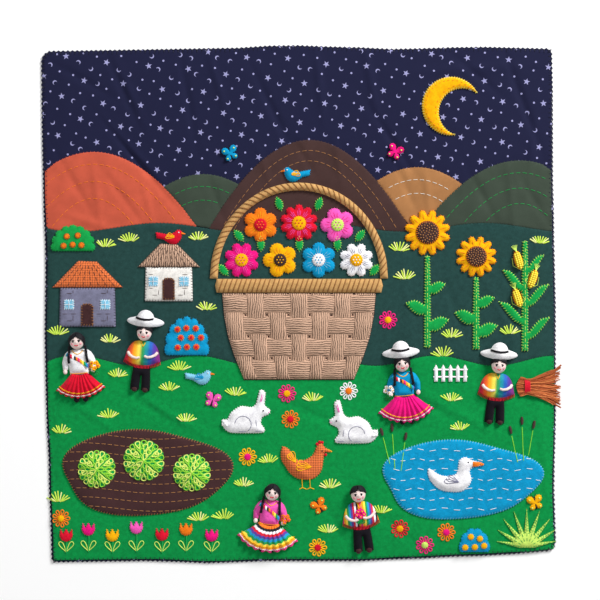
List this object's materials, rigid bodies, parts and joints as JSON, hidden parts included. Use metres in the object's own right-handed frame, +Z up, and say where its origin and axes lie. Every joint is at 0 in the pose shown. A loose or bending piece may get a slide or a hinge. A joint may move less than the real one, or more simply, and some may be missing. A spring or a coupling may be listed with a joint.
{
  "type": "arpillera textile",
  "caption": "Square padded wall textile of printed cotton with sewn felt appliques and small stuffed dolls, lying face up.",
  "frame": {"origin": "middle of the whole piece on the surface it lies on", "axes": "+Z up out of the picture side, +Y towards the picture's top edge, +X towards its right edge"},
  "size_m": [0.6094, 0.6068, 0.0183],
  "materials": {
    "black": "brushed cotton",
    "blue": "matte wool felt, hand sewn",
    "brown": "matte wool felt, hand sewn",
    "check_orange": "small woven check",
    "corduroy": "ribbed corduroy",
    "dark_green": "matte wool felt, hand sewn",
    "gold": "matte wool felt, hand sewn",
    "green": "matte wool felt, hand sewn",
    "leaf": "matte wool felt, hand sewn",
    "lime": "matte wool felt, hand sewn",
    "magenta": "matte wool felt, hand sewn",
    "night_print": "plain-woven printed cotton over a thin pad, navy with small lavender stars, crescents and dots",
    "olive": "matte wool felt, hand sewn",
    "orange": "matte wool felt, hand sewn",
    "pink": "matte wool felt, hand sewn",
    "rainbow": "striped handwoven cotton",
    "red": "matte wool felt, hand sewn",
    "rust_yarn": "loose wool yarn",
    "skin": "stuffed cotton knit",
    "sky_blue": "matte wool felt, hand sewn",
    "soil": "matte wool felt, hand sewn",
    "straw": "loosely woven burlap",
    "tan": "matte wool felt, hand sewn",
    "terracotta": "matte wool felt, hand sewn",
    "wall_grey": "matte wool felt, hand sewn",
    "wall_white": "matte wool felt, hand sewn",
    "white": "matte wool felt, hand sewn"
  },
  "bodies": {
    "root": {"agave": "lime", "basket": "corduroy", "basket_handle": "straw", "basket_rim": "straw", "cabbage_1": "lime", "cabbage_2": "lime", "cabbage_3": "lime", "doll_1_coat": "white", "doll_1_head": "skin", "doll_1_skirt": "red", "doll_2_coat": "rainbow", "doll_2_hat": "white", "doll_2_head": "skin", "doll_2_trousers": "black", "doll_3_coat": "blue", "doll_3_hat": "white", "doll_3_head": "skin", "doll_3_skirt": "magenta", "doll_4_coat": "rainbow", "doll_4_hat": "white", "doll_4_head": "skin", "doll_4_trousers": "black", "doll_5_coat": "pink", "doll_5_head": "skin", "doll_5_skirt": "sky_blue", "doll_6_coat": "rainbow", "doll_6_head": "skin", "doll_6_trousers": "black", "duck": "white", "flower_1": "magenta", "flower_2": "gold", "flower_3": "blue", "flower_4": "white", "flower_5": "orange", "flower_6": "red", "flower_7": "pink", "ground_cloth": "night_print", "hen": "check_orange", "hill_brown": "brown", "hill_olive_left": "olive", "hill_olive_right": "olive", "hill_tan": "tan", "hill_terracotta": "terracotta", "hillside": "dark_green", "house_1_roof": "check_orange", "house_1_walls": "wall_grey", "house_2_roof": "corduroy", "house_2_walls": "wall_white", "maize": "leaf", "meadow": "green", "moon": "gold", "ploughed_patch": "soil", "pond": "blue", "rabbit_1": "white", "rabbit_2": "white", "sunflower_1_head": "gold", "sunflower_1_stem": "leaf", "sunflower_2_head": "gold", "sunflower_2_stem": "leaf", "yarn_sheaf": "rust_yarn"}
  },
  "joints": []
}
